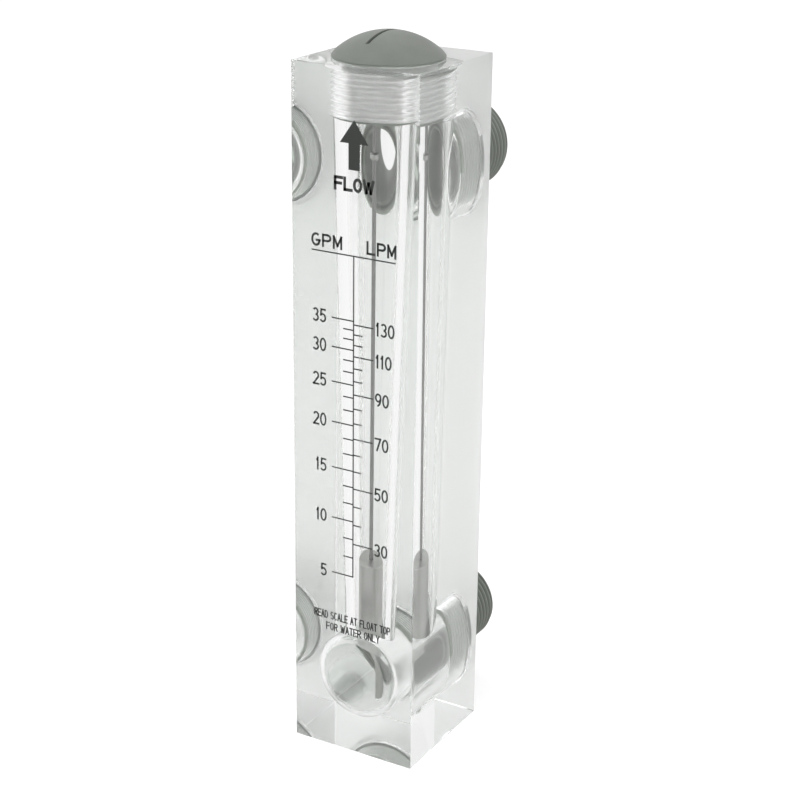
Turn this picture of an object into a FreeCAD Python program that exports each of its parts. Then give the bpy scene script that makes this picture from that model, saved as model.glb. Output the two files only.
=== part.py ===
"""Acrylic block rotameter.

A clear square block holds a tapered metering bore. A float rides on a guide rod inside the bore,
between two stops. A slotted cap screws into the top of the bore over a seal ring, and two threaded
nipples screw into ports in the back, each over a seal ring of its own.

Frame: millimetres, +Z up along the block, origin at the centre of the block's bottom face. The dial
face is the -Y face, and both ports leave through the +Y face. Every size is a cell of the sheet
"Params": the pieces are bound to those cells, so a changed cell changes the pieces that use it.
"""
import FreeCAD, Part
import math
import os
import re

import Sketcher

DRIVING = {
    # the block
    "block_width": 50.0, "block_depth": 50.0, "block_height": 256.5, "block_edge": 0.4,
    # the metering bore, whose axis stands in front of the block's middle to leave the ports their thread
    "bore_setback": 3.0, "bore_low_radius": 9.7, "bore_top_radius": 15.5,
    # the cap: a threaded plug with a domed, slotted head
    "cap_thread_radius": 16.5, "cap_thread_depth": 20.0, "cap_foot_gap": 0.5, "thread_play": 0.05,
    "head_radius": 19.5, "head_lip": 1.2, "head_rise": 9.2, "lip_round": 0.5,
    "slot_width": 1.4, "slot_depth": 3.2, "slot_turn": 4.0,
    # the seal ring under the cap's head, and its recess
    "seal_section": 1.1, "seal_play": 0.1, "seal_recess_radius": 19.0, "seal_recess_depth": 2.3,
    # the rear ports: a threaded mouth, then a milled bore with a flat end and rounded corners
    "inlet_height": 30.0, "outlet_height": 217.0, "port_thread_radius": 18.0,
    "port_thread_depth": 16.2, "port_bore_radius": 17.0, "port_corner_radius": 5.0,
    "inlet_end_place": -21.5, "outlet_end_place": 4.0,
    # the nipples, each with a coarser pipe thread outside, and the seal rings under their shoulders
    "nipple_bore_radius": 13.0, "nipple_reach": 31.0, "nipple_chamfer": 1.0, "nipple_end_gap": 0.2,
    "pipe_thread_radius": 16.7,
    "shoulder_radius": 21.0, "shoulder_thickness": 4.0, "shoulder_flats": 38.0,
    "port_seal_section": 1.15, "port_recess_radius": 19.1, "port_recess_depth": 2.4,
    # the guide rod and its stops
    "rod_radius": 1.2, "rod_chamfer": 0.3, "rod_cap_grip": 8.0, "rod_cap_hole": 9.0, "rod_play": 0.08,
    "low_stop_radius": 2.0, "stop_socket_depth": 2.0, "stop_chamfer": 0.4,
    "top_stop_radius": 2.5, "top_stop_length": 2.4, "top_stop_height": 221.8,
    # the float
    "float_radius": 7.7, "float_height": 37.5, "float_length": 34.8, "float_edge": 0.3,
    "float_foot_chamfer": 1.0,
}
DERIVED = {
    "floor_height": "inlet_height - port_bore_radius",
    "cap_seat_height": "block_height - cap_thread_depth",
    "cap_shank": "cap_thread_depth - cap_foot_gap",
    "dome_rise": "head_rise - head_lip",
    "dome_radius": "(head_radius ^ 2 + dome_rise ^ 2) / (2 * dome_rise)",
    "seal_ring_radius": "cap_thread_radius + seal_section + seal_play",
    "port_seal_radius": "pipe_thread_radius + port_seal_section + thread_play",
    "socket_height": "floor_height - stop_socket_depth",
    "rod_length": "block_height - cap_shank + rod_cap_grip - socket_height",
    "rod_hole_radius": "rod_radius + rod_play",
    "low_stop_length": "float_height - socket_height",
}

doc = FreeCAD.newDocument("Rotameter")
params = doc.addObject("Spreadsheet::Sheet", "Params")
pieces = []


def bound(text):
    """The same sum with each of the sheet's words spelled as the document needs it."""
    return re.sub(r"\b[a-z]+_[a-z_]+\b", lambda word: "Params." + word.group(), text)


def fill_sheet():
    """One row per size: its word, its number or sum, and the word as the cell's alias."""
    rows = [(word, str(number)) for word, number in DRIVING.items()]
    rows += [(word, "=" + text) for word, text in DERIVED.items()]
    for row, (word, content) in enumerate(rows, start=1):
        params.set(f"A{row}", word)
        params.setAlias(f"B{row}", word)
        params.set(f"B{row}", content)
    doc.recompute()


def bind(thing, **sums):
    """Bind properties to sums; two underscores in a name stand for a dot."""
    for name, text in sums.items():
        thing.setExpression(name.replace("__", "."), bound(text))


def new_piece(kind, label, **place):
    """A piece of the model, with its label and where it stands along X, Y and Z."""
    piece = doc.addObject(kind, label)
    piece.Label = label
    for axis, text in place.items():
        piece.setExpression("Placement.Base." + axis, bound(text))
    pieces.append(piece)
    return piece


def arc_through(start, end, radius, turn):
    """The shorter arc from start to end, turning left for +1 and right for -1."""
    chord = end.sub(start)
    left = FreeCAD.Vector(-chord.y, chord.x, 0).normalize()
    half = chord.Length / 2
    bulge = radius - math.sqrt(max(radius ** 2 - half ** 2, 0))
    middle = start.add(chord.multiply(0.5)).add(left.multiply(-turn * bulge))
    return Part.Arc(start, middle, end)


def outline(body, name, role, corners, **shift):
    """A closed, fully bound sketch on one of the body's origin planes.

    A corner is (across, up), or (across, up, radius, turn) where the run that arrives is an arc.
    shift moves the sketch within its plane (x, y) or off it (z).
    """
    sketch = body.newObject("Sketcher::SketchObject", name)
    plane = next(f for f in body.Origin.OriginFeatures if f.Role == role)
    sketch.AttachmentSupport = [(plane, "")]
    sketch.MapMode = "FlatFace"
    for axis, text in shift.items():
        sketch.setExpression("AttachmentOffset.Base." + axis, bound(text))

    def number(text):
        result = sketch.evalExpression(bound(text))
        return float(getattr(result, "Value", result))

    points = [FreeCAD.Vector(number(corner[0]), number(corner[1]), 0) for corner in corners]
    ends = []
    for i, corner in enumerate(corners):
        if len(corner) == 4:
            run = arc_through(points[i - 1], points[i], number(corner[2]), corner[3])
            ends.append((1, 2) if corner[3] > 0 else (2, 1))
        else:
            run = Part.LineSegment(points[i - 1], points[i])
            ends.append((1, 2))
        sketch.addGeometry(run, False)
    for i in range(len(corners)):
        follower = (i + 1) % len(corners)
        sketch.addConstraint(
            Sketcher.Constraint("Coincident", i, ends[i][1], follower, ends[follower][0]))

    def tie(kind, title, text, *where):
        index = sketch.addConstraint(Sketcher.Constraint(kind, *where, number(text)))
        sketch.renameConstraint(index, title)
        sketch.setExpression("Constraints." + title, bound(text))

    for i, corner in enumerate(corners):
        tie("DistanceX", f"across{i}", corner[0], -1, 1, i, ends[i][1])
        tie("DistanceY", f"up{i}", corner[1], -1, 1, i, ends[i][1])
        if len(corner) == 4:
            tie("Radius", f"radius{i}", corner[2], i)
    return sketch


def turned(body, kind, sketch, axis):
    """A full revolution or groove of a sketch about its own H_Axis or V_Axis."""
    feature = body.newObject("PartDesign::" + kind, sketch.Name + kind)
    feature.Profile = sketch
    feature.ReferenceAxis = (sketch, [axis])
    feature.Angle = 360
    doc.recompute()
    return feature


def round_edges(body, kind, size, chosen):
    """A fillet or chamfer on the circular edges of the body that chosen picks."""
    base = body.Tip
    names = [f"Edge{i}" for i, edge in enumerate(base.Shape.Edges, start=1) if chosen(edge)]
    if not names:
        raise RuntimeError("no edge to round on " + body.Label)
    feature = body.newObject("PartDesign::" + kind, body.Name + kind)
    feature.Base = (base, names)
    bind(feature, **{"Radius" if kind == "Fillet" else "Size": size})
    doc.recompute()
    return feature


def is_ring(edge, radius, height):
    """Whether an edge is a full circle of this radius at this height."""
    if edge.Length < 0.01 or not isinstance(edge.Curve, Part.Circle):
        return False
    circle = edge.Curve
    return abs(circle.Radius - radius) < 0.01 and abs(circle.Center.z - height) < 0.01


def make_block():
    """The clear block: a bar, bored from the top, then milled and tapped twice from the back."""
    body = new_piece("PartDesign::Body", "body_block")
    square = outline(body, "BarEnd", "XY_Plane", [
        ("-block_width / 2", "-block_depth / 2"), ("block_width / 2", "-block_depth / 2"),
        ("block_width / 2", "block_depth / 2"), ("-block_width / 2", "block_depth / 2")])
    bar = body.newObject("PartDesign::Pad", "Bar")
    bar.Profile = square
    bind(bar, Length="block_height")
    doc.recompute()
    edges = body.newObject("PartDesign::Chamfer", "BarEdges")
    edges.Base = (bar, [""])
    edges.UseAllEdges = True
    bind(edges, Size="block_edge")
    doc.recompute()
    bore = outline(body, "MeteringBore", "YZ_Plane", [
        ("0", "socket_height"), ("low_stop_radius", "socket_height"),
        ("low_stop_radius", "inlet_height"), ("bore_low_radius", "inlet_height"),
        ("bore_top_radius", "cap_seat_height"),
        ("cap_thread_radius + thread_play", "cap_seat_height"),
        ("cap_thread_radius + thread_play", "block_height - seal_recess_depth"),
        ("seal_recess_radius", "block_height - seal_recess_depth"),
        ("seal_recess_radius", "block_height"), ("0", "block_height"),
    ], x="-bore_setback")
    turned(body, "Groove", bore, "V_Axis")
    for name, height, end in (("Inlet", "inlet_height", "inlet_end_place"),
                              ("Outlet", "outlet_height", "outlet_end_place")):
        port = outline(body, name + "Port", "YZ_Plane", port_corners(end), y=height)
        turned(body, "Groove", port, "H_Axis")
    return body


def port_corners(end):
    """Half the section of a rear port, from its flat end to the mouth in the back face."""
    back = "block_depth / 2"
    return [
        (end, "0"), (back, "0"),
        (back, "port_recess_radius"), (back + " - port_recess_depth", "port_recess_radius"),
        (back + " - port_recess_depth", "port_thread_radius + thread_play"),
        (back + " - port_thread_depth", "port_thread_radius + thread_play"),
        (back + " - port_thread_depth", "port_bore_radius"),
        (end + " + port_corner_radius", "port_bore_radius"),
        (end, "port_bore_radius - port_corner_radius", "port_corner_radius", 1),
    ]


def make_cap():
    """The threaded plug with its domed head, driver slot and the blind hole that steadies the rod."""
    body = new_piece("PartDesign::Body", "top_cap", y="-bore_setback", z="block_height")
    half = outline(body, "CapHalf", "XZ_Plane", [
        ("rod_hole_radius", "-cap_shank"), ("cap_thread_radius", "-cap_shank"),
        ("cap_thread_radius", "0"), ("head_radius", "0"),
        ("head_radius", "head_lip"), ("0", "head_rise", "dome_radius", 1),
        ("0", "rod_cap_hole - cap_shank"), ("rod_hole_radius", "rod_cap_hole - cap_shank"),
    ])
    turned(body, "Revolution", half, "V_Axis")
    lip = float(params.head_lip)
    radius = float(params.head_radius)
    round_edges(body, "Fillet", "lip_round", lambda edge: is_ring(edge, radius, lip))
    slot = outline(body, "Slot", "XY_Plane", [
        ("-head_radius", "-slot_width / 2"), ("head_radius", "-slot_width / 2"),
        ("head_radius", "slot_width / 2"), ("-head_radius", "slot_width / 2")], z="head_rise")
    slot.setExpression("AttachmentOffset.Rotation.Angle", bound("90 - slot_turn"))
    cut = body.newObject("PartDesign::Pocket", "DriverSlot")
    cut.Profile = slot
    bind(cut, Length="slot_depth")
    doc.recompute()
    return body


def make_seal_rings():
    """Three rings: one under the cap's head and one under each nipple's shoulder."""
    ring = new_piece("Part::Torus", "cap_o_ring", y="-bore_setback",
                     z="block_height - seal_recess_depth / 2")
    bind(ring, Radius1="seal_ring_radius", Radius2="seal_section")
    for label, height in (("lower_port_o_ring", "inlet_height"), ("upper_port_o_ring", "outlet_height")):
        ring = new_piece("Part::Torus", label, y="block_depth / 2 - port_seal_section", z=height)
        bind(ring, Radius1="port_seal_radius", Radius2="port_seal_section")
        ring.Placement.Rotation = FreeCAD.Rotation(FreeCAD.Vector(1, 0, 0), 90)


def make_nipple(label, height):
    """A tube threaded at both ends, with a shoulder between that bears on the block and has two flats."""
    body = new_piece("PartDesign::Body", label, y="block_depth / 2", z=height)
    half = outline(body, label + "_half", "YZ_Plane", [
        ("nipple_end_gap - port_thread_depth", "nipple_bore_radius"),
        ("nipple_end_gap - port_thread_depth", "port_thread_radius - nipple_chamfer"),
        ("nipple_end_gap - port_thread_depth + nipple_chamfer", "port_thread_radius"),
        ("-port_recess_depth", "port_thread_radius"), ("-port_recess_depth", "pipe_thread_radius"),
        ("0", "pipe_thread_radius"), ("0", "shoulder_radius"),
        ("shoulder_thickness", "shoulder_radius"), ("shoulder_thickness", "pipe_thread_radius"),
        ("nipple_reach - nipple_chamfer", "pipe_thread_radius"),
        ("nipple_reach", "pipe_thread_radius - nipple_chamfer"), ("nipple_reach", "nipple_bore_radius"),
    ])
    turned(body, "Revolution", half, "H_Axis")
    for side, sign in (("upper", ""), ("lower", "-")):
        flat = outline(body, f"{label}_{side}_flat", "YZ_Plane", [
            ("0", sign + "shoulder_flats / 2"),
            ("shoulder_thickness", sign + "shoulder_flats / 2"),
            ("shoulder_thickness", sign + "shoulder_radius * 1.1"),
            ("0", sign + "shoulder_radius * 1.1")])
        cut = body.newObject("PartDesign::Pocket", flat.Name + "_cut")
        cut.Profile = flat
        cut.Midplane = True
        bind(cut, Length="shoulder_radius * 2")
        doc.recompute()
    return body


def make_turned_piece(label, foot, corners):
    """A round piece on the bore's axis whose outline starts at the foot height."""
    body = new_piece("PartDesign::Body", label, y="-bore_setback", z=foot)
    turned(body, "Revolution", outline(body, label + "_half", "XZ_Plane", corners), "V_Axis")
    return body


def make_rod_and_stops():
    """The guide rod, the sleeve it stands in, on which the float rests, and the collar near its top."""
    make_turned_piece("guide_rod", "socket_height", [
        ("0", "0"), ("rod_radius - rod_chamfer", "0"),
        ("rod_radius", "rod_chamfer"), ("rod_radius", "rod_length - rod_chamfer"),
        ("rod_radius - rod_chamfer", "rod_length"), ("0", "rod_length")])
    for label, foot, radius, length in (
            ("lower_float_stop", "socket_height", "low_stop_radius", "low_stop_length"),
            ("upper_float_stop", "top_stop_height", "top_stop_radius", "top_stop_length")):
        make_turned_piece(label, foot, [
            ("rod_radius", "0"), (radius + " - stop_chamfer", "0"),
            (radius, "stop_chamfer"), (radius, length + " - stop_chamfer"),
            (radius + " - stop_chamfer", length), ("rod_radius", length)])


def make_float():
    """A solid cylinder bored for the rod, with a sharp top edge to read against the scale."""
    make_turned_piece("float", "float_height", [
        ("rod_hole_radius", "0"), ("float_radius - float_foot_chamfer", "0"),
        ("float_radius", "float_foot_chamfer"), ("float_radius", "float_length - float_edge"),
        ("float_radius - float_edge", "float_length"), ("rod_hole_radius", "float_length")])


def check(piece):
    """Stop on a failed feature or a piece without a sound solid."""
    for thing in [piece] + list(getattr(piece, "Group", [])):
        if "Invalid" in thing.State or "Error" in thing.State:
            raise RuntimeError(f"{piece.Label}: {thing.Name} is {thing.State}")
    shape = piece.Shape
    if shape.isNull() or not shape.isValid() or len(shape.Solids) != 1:
        raise RuntimeError(piece.Label + " has no single sound solid")
    box = shape.BoundBox
    print(f"{piece.Label:18s} {shape.Volume / 1000:8.2f} cm3  "
          f"x {box.XMin:.1f}..{box.XMax:.1f}  y {box.YMin:.1f}..{box.YMax:.1f}  "
          f"z {box.ZMin:.1f}..{box.ZMax:.1f}")


fill_sheet()
make_block()
make_cap()
make_seal_rings()
make_nipple("lower_port_nipple", "inlet_height")
make_nipple("upper_port_nipple", "outlet_height")
make_rod_and_stops()
make_float()
doc.recompute()
os.makedirs("parts", exist_ok=True)
for piece in pieces:
    check(piece)
for piece in pieces:
    piece.Shape.exportStep(f"parts/{piece.Label}.step")
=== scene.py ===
import math

import bmesh
import bpy
import mathutils
import numpy as np
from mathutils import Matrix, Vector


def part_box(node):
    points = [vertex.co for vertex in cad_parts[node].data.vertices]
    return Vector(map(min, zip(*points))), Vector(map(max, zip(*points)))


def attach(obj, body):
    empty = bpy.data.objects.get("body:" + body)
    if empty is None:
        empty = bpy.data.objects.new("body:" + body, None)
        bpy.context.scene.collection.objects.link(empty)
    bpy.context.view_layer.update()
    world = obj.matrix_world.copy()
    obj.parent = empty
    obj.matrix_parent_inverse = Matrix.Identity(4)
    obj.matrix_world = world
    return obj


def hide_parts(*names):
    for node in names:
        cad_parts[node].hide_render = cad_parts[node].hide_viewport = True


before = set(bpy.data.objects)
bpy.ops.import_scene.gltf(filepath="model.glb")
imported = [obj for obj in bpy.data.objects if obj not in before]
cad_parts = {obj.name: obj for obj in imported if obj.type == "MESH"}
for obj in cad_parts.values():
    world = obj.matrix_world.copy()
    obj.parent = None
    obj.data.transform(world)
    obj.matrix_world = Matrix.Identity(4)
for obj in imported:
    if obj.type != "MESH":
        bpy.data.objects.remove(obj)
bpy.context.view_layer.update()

MM = 0.001
BLOCK = np.array(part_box("body_block"))
BASE_Z, TOP_Z = BLOCK[0][2], BLOCK[1][2]
FRONT_Y, BACK_Y = BLOCK[0][1], BLOCK[1][1]
ROD = np.array(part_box("guide_rod"))
FLOAT = np.array(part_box("float"))
AXIS_Y = ROD[:, 1].mean()
AXIS = (0, AXIS_Y, 0)
INLET = np.array(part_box("lower_port_nipple"))
OUTLET = np.array(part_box("upper_port_nipple"))
INLET_Z = INLET[:, 2].mean()
OUTLET_Z = OUTLET[:, 2].mean()

bl_info = {
    "name": "Acrylic Block Rotameter",
    "version": (1, 0, 0),
    "blender": (4, 5, 0),
    "location": "3D View > Sidebar > Rotameter",
    "description": "Builds the visible pieces of a clear block rotameter over its CAD frame",
    "category": "Object",
}


# ---- sizes and colours

def length(name, text, default):
    """A length property in metres, given in millimetres."""
    return bpy.props.FloatProperty(
        name=name, description=text, default=default * MM, unit="LENGTH", subtype="DISTANCE")


def angle(name, text, default):
    """An angle property, given in degrees."""
    return bpy.props.FloatProperty(
        name=name, description=text, default=math.radians(default), subtype="ANGLE")


def colour(name, text, default):
    """A linear colour property."""
    return bpy.props.FloatVectorProperty(
        name=name, description=text, default=default, size=3, subtype="COLOR", min=0, max=1)


class RotameterBlockSizes(bpy.types.PropertyGroup):
    bore_low: length("Lower bore radius", "Metering bore radius at the inlet's height", 9.7)
    bore_top: length("Upper bore radius", "Metering bore radius under the cap thread", 15.5)
    cap_thread: length("Cap thread radius", "Over the crests of the cap's thread", 16.5)
    cap_pitch: length("Cap thread pitch", "Rise of the cap's thread in one turn", 1.8)
    cap_depth: length("Cap thread depth", "From the block's top to the foot of the thread", 20.0)
    recess_radius: length("Seal recess radius", "Mouth of the bore, round the seal ring", 19.0)
    recess_depth: length("Seal recess depth", "Depth of the seal ring's recess", 2.3)
    port_thread: length("Port thread radius", "Over the crests of the port thread", 18.0)
    port_pitch: length("Port thread pitch", "Rise of the port thread in one turn", 1.8)
    port_depth: length("Port thread depth", "From the back face to the end of the thread", 16.2)
    port_bore: length("Port bore radius", "Milled bore beyond the port thread", 17.0)
    port_corner: length("Port corner radius", "Round corner at the milled bore's flat end", 5.0)
    port_recess: length("Port recess radius", "Mouth of the port, round its seal ring", 19.1)
    port_recess_depth: length("Port recess depth", "Depth of the port's seal recess", 2.4)
    inlet_end: length("Inlet end", "Where the inlet's milled bore ends", -21.5)
    outlet_end: length("Outlet end", "Where the outlet's milled bore ends", 4.0)
    pipe_thread: length("Pipe thread radius", "Over the crests of the nipples' outer thread", 16.7)
    pipe_pitch: length("Pipe thread pitch", "Rise of the outer thread in one turn", 2.5)
    nipple_bore: length("Nipple bore radius", "Passage through a nipple", 13.0)
    socket_radius: length("Socket radius", "Blind hole under the lower stop", 2.1)
    socket_depth: length("Socket depth", "Depth of that hole below the inlet's floor", 2.4)
    play: length("Thread play", "Air between a thread and its mate", 0.12)
    edge: length("Block edge", "Chamfer on the block's edges", 0.2)


class RotameterScaleSizes(bpy.types.PropertyGroup):
    zero: length("Zero height", "Height of zero flow by the scale's law", 48.0)
    slope: length("Rise per gallon", "First-order rise per gallon a minute", 5.027)
    bend: length("Rise lost", "Second-order rise lost per gallon squared", 0.04475)
    line: length("Line width", "Width of the scale's lines", 0.5)
    pen: length("Pen width", "Width of the digits' strokes", 0.68)
    digit: length("Digit height", "Height of the scale's digits", 5.0)
    digit_width: length("Digit width", "Width of a digit between its strokes' middles", 2.05)


class RotameterColours(bpy.types.PropertyGroup):
    acrylic: colour("Acrylic", "Tint that light takes on inside the clear block", (0.91, 0.938, 0.913))
    depth: bpy.props.FloatProperty(
        name="Depth of tint", description="How fast the tint builds up, per metre", default=4.0)
    cap: colour("Cap", "Moulded cap", (0.2, 0.216, 0.194))
    # the nipple tint below is darkened at thread roots as painted shade and lightened at crests as a
    # painted highlight
    nipple: colour("Nipple", "Moulded nipples", (0.25, 0.268, 0.24))
    ink: colour("Ink", "Printed scale", (0.022, 0.025, 0.022))
    steel: colour("Steel", "Float and stops", (0.42, 0.425, 0.405))
    rod: colour("Rod", "Guide rod", (0.25, 0.255, 0.245))
    rubber: colour("Rubber", "Seal rings", (0.2, 0.205, 0.2))


class RotameterStageSizes(bpy.types.PropertyGroup):
    azimuth: angle("Azimuth", "Camera's turn to the right of the dial", 30.04)
    elevation: angle("Elevation", "Camera's height above the horizon", 20.51)
    roll: angle("Roll", "Camera's roll", 0.706)
    place: bpy.props.FloatVectorProperty(
        name="Camera place", description="Where the camera stands", size=3,
        default=(0.32005, -0.5460, 0.3692), subtype="TRANSLATION")
    lens: bpy.props.FloatProperty(
        name="Lens", description="Focal length in millimetres", default=84.26)


# ---- surfaces

SMOOTH_ANGLE = 32.0  # degrees between two faces, past which their edge is sharp
NO_RADIUS = 1e-9  # a point no farther from the axis than this is on it
THREAD_FLAT = 0.125  # share of a thread's pitch that is flat at its crest, and again at its root


def mesh_object(name, verts, faces):
    """A smoothly shaded mesh object from one array of points and a list of arrays of faces."""
    mesh = bpy.data.meshes.new(name)
    rows = [row for block in faces for row in np.asarray(block).tolist()]
    mesh.from_pydata(np.asarray(verts, dtype=float).tolist(), [], rows)
    mesh.validate()
    finish_shading(mesh)
    obj = bpy.data.objects.new(name, mesh)
    bpy.context.scene.collection.objects.link(obj)
    return obj


def finish_shading(mesh):
    """Smooth faces, with a sharp edge wherever two faces meet at more than the smooth angle."""
    mesh.polygons.foreach_set("use_smooth", np.ones(len(mesh.polygons), dtype=bool))
    mesh.set_sharp_from_angle(angle=math.radians(SMOOTH_ANGLE))
    mesh.update()


def lay_along_y(points):
    """Turn points so that what ran up +Z runs back along +Y, without mirroring them."""
    return np.stack([points[:, 0], points[:, 2], -points[:, 1]], axis=1)


def filled_in(profile, step):
    """The same outline with extra points, so that no run between two of them is longer than step."""
    profile = np.asarray(profile, dtype=float)
    runs = np.linalg.norm(np.diff(profile, axis=0), axis=1)
    counts = np.maximum(np.ceil(runs / step).astype(int), 1)
    part = np.concatenate([np.arange(n) / n for n in counts])
    start = np.repeat(profile[:-1], counts, axis=0)
    across = np.repeat(np.diff(profile, axis=0), counts, axis=0)
    return np.vstack([start + part[:, None] * across, profile[-1:]])


def arc(centre, radius, first, last, count):
    """Points centre + radius (cos a, sin a), for a from first to last in degrees from straight outward."""
    turn = np.radians(np.linspace(first, last, count))
    return np.stack([centre[0] + radius * np.cos(turn), centre[1] + radius * np.sin(turn)], axis=1)


def lathe(profile, segments, step=3 * MM):
    """A solid of revolution about Z: (r cos t, r sin t, z) for each (r, z) of the profile.

    A profile that starts and ends on the axis closes in two poles; any other profile is a loop that
    closes on itself, as a ring or tube does. Profiles run up the outside, so that faces look outward.
    """
    profile = filled_in(profile, step)
    closed = profile[0][0] > NO_RADIUS
    if closed:
        profile = filled_in(np.vstack([profile, profile[:1]]), step)[:-1]
    rings = profile if closed else profile[1:-1]
    turn = 2 * np.pi * np.arange(segments) / segments
    r, z = rings[:, 0][:, None], rings[:, 1][:, None]
    grid = np.stack([r * np.cos(turn), r * np.sin(turn), z + 0 * turn], axis=2)
    verts = grid.reshape(-1, 3)
    count = len(rings)
    rows = np.arange(count if closed else count - 1)[:, None]
    cols = np.arange(segments)[None, :]
    here, up = rows * segments, ((rows + 1) % count) * segments
    after = (cols + 1) % segments
    quads = np.stack([here + cols, here + after, up + after, up + cols], axis=2).reshape(-1, 4)
    faces = [quads]
    if not closed:
        low, high = len(verts), len(verts) + 1
        poles = np.array([[0, 0, profile[0][1]], [0, 0, profile[-1][1]]])
        verts = np.vstack([verts, poles])
        ring, beyond = cols[0], after[0]
        last = (count - 1) * segments
        faces.append(np.stack([beyond, ring, np.full(segments, low)], axis=1))
        faces.append(np.stack([last + ring, last + beyond, np.full(segments, high)], axis=1))
    return verts, faces


def thread_form(crest, root, points):
    """Radii over one pitch of a V thread whose crest and root are flat for an eighth of the pitch."""
    wave = np.abs((2 * np.arange(points) + 1) / points - 1)
    return root + (crest - root) * np.clip((wave - THREAD_FLAT) / (1 - 2 * THREAD_FLAT), 0, 1)


def threaded_solid(crest, root, pitch, span, segments=112, points=8):
    """A right-handed screw about Z from 0 to about span.

    A point is (r cos t, r sin t, pitch (u + t / 2 pi)), where u counts turns and r is the thread's form
    at the fraction of u. Column t = 2 pi of a row is column 0 of the row one pitch up, so the surface
    is one seamless strip, and a fan closes each end on the axis.
    """
    turns = int(math.ceil(span / pitch)) + 1
    rows = turns * points
    i, k = np.meshgrid(np.arange(rows + 1), np.arange(segments), indexing="ij")
    radius = np.tile(thread_form(crest, root, points), turns + 1)[: rows + 1][:, None]
    turn = 2 * np.pi * k / segments
    rise = pitch * (i / points + k / segments) - pitch
    grid = np.stack([radius * np.cos(turn), radius * np.sin(turn), rise], axis=2)
    verts = grid.reshape(-1, 3)
    at = np.arange(len(verts)).reshape(rows + 1, segments)
    inner = np.stack([at[:-1, :-1], at[:-1, 1:], at[1:, 1:], at[1:, :-1]], axis=2)
    seam = np.stack([at[:-points - 1, -1], at[points:-1, 0], at[points + 1:, 0], at[1:-points, -1]], axis=1)
    low = np.concatenate([at[0], at[points:0:-1, 0]])
    high = np.concatenate([at[-1], at[-2:-points - 2:-1, -1]])
    ends = np.array([[0, 0, verts[low][:, 2].mean()], [0, 0, verts[high][:, 2].mean()]])
    foot, head = len(verts), len(verts) + 1
    verts = np.vstack([verts, ends])
    fans = [np.stack([np.roll(low, -1), low, np.full(len(low), foot)], axis=1),
            np.stack([high, np.roll(high, -1), np.full(len(high), head)], axis=1)]
    return verts, [inner.reshape(-1, 4), seam] + fans


def combined(name, base, others, operation):
    """The base mesh cut by, joined to or kept within the others, as one new object."""
    group = bpy.data.collections.new(name + "_tools")
    bpy.context.scene.collection.children.link(group)
    for other in others:
        bpy.context.scene.collection.objects.unlink(other)
        group.objects.link(other)
    change = base.modifiers.new("combine", "BOOLEAN")
    change.operation = operation
    change.operand_type = "COLLECTION"
    change.collection = group
    change.solver = "EXACT"
    change.material_mode = "TRANSFER"
    bpy.context.view_layer.update()
    graph = bpy.context.evaluated_depsgraph_get()
    mesh = bpy.data.meshes.new_from_object(base.evaluated_get(graph))
    mesh.name = name
    finish_shading(mesh)
    for thing in [base] + others:
        bpy.data.objects.remove(thing)
    bpy.data.collections.remove(group)
    made = bpy.data.objects.new(name, mesh)
    bpy.context.scene.collection.objects.link(made)
    return made


def settle(obj, body, material=None, replaces=None):
    """Give a finished piece one material all over, its body and the node it replaces."""
    if material:
        obj.data.materials.clear()
        obj.data.materials.append(material)
        all_first = np.zeros(len(obj.data.polygons), dtype=np.int32)
        obj.data.polygons.foreach_set("material_index", all_first)
    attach(obj, body)
    if replaces:
        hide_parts(replaces)
    return obj


# ---- materials

def new_material(name):
    """An empty node material with its tree, Principled shader and Object coordinates."""
    material = bpy.data.materials.new(name)
    material.use_nodes = True
    tree = material.node_tree
    shader = next(n for n in tree.nodes if n.type == "BSDF_PRINCIPLED")
    place = tree.nodes.new("ShaderNodeTexCoord")
    return material, tree, shader, place.outputs["Object"]


def wired(tree, kind, inputs, **settings):
    """The outputs of a new node, whose inputs are each a value or wired to another node's output."""
    node = tree.nodes.new(kind)
    for name, value in settings.items():
        setattr(node, name, value)
    for name, value in inputs.items():
        if isinstance(value, bpy.types.NodeSocket):
            tree.links.new(value, node.inputs[name])
        else:
            node.inputs[name].default_value = value
    return node.outputs


def noise(tree, place, scale, detail=4.0):
    """Fractal noise on the piece's own coordinates; scale counts its cells in a metre."""
    return wired(tree, "ShaderNodeTexNoise", {"Vector": place, "Scale": scale, "Detail": detail})["Fac"]


def between(tree, pattern, low, high):
    """The pattern's usual range, 0.3 to 0.7, spread over low to high."""
    ends = {"From Min": 0.3, "From Max": 0.7, "To Min": low, "To Max": high}
    return wired(tree, "ShaderNodeMapRange", {"Value": pattern, **ends})["Result"]


def coloured(tree, shader, pattern, first, second, painted_thread_light=None):
    """Give the shader a colour that goes from the first to the second over the pattern's usual range."""
    ends = {"A": (*first, 1), "B": (*second, 1)}
    share = between(tree, pattern, 0, 1)
    tone = wired(tree, "ShaderNodeMix", {"Factor": share, **ends}, data_type="RGBA")["Result"]
    # painted shade at thread roots and a painted highlight at crests, scaled into the colour
    if painted_thread_light:
        tone = shaded_roots(tree, tone, *painted_thread_light)
    tree.links.new(tone, shader.inputs["Base Color"])


def roughened(tree, shader, pattern, low, high):
    """Give the shader a roughness that goes from low to high over the pattern's usual range."""
    tree.links.new(between(tree, pattern, low, high), shader.inputs["Roughness"])


def bumped(tree, shader, pattern, strength, distance):
    """Raise the surface by a pattern of heights."""
    bump = wired(tree, "ShaderNodeBump", {"Height": pattern, "Strength": strength, "Distance": distance})
    tree.links.new(bump["Normal"], shader.inputs["Normal"])


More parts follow.
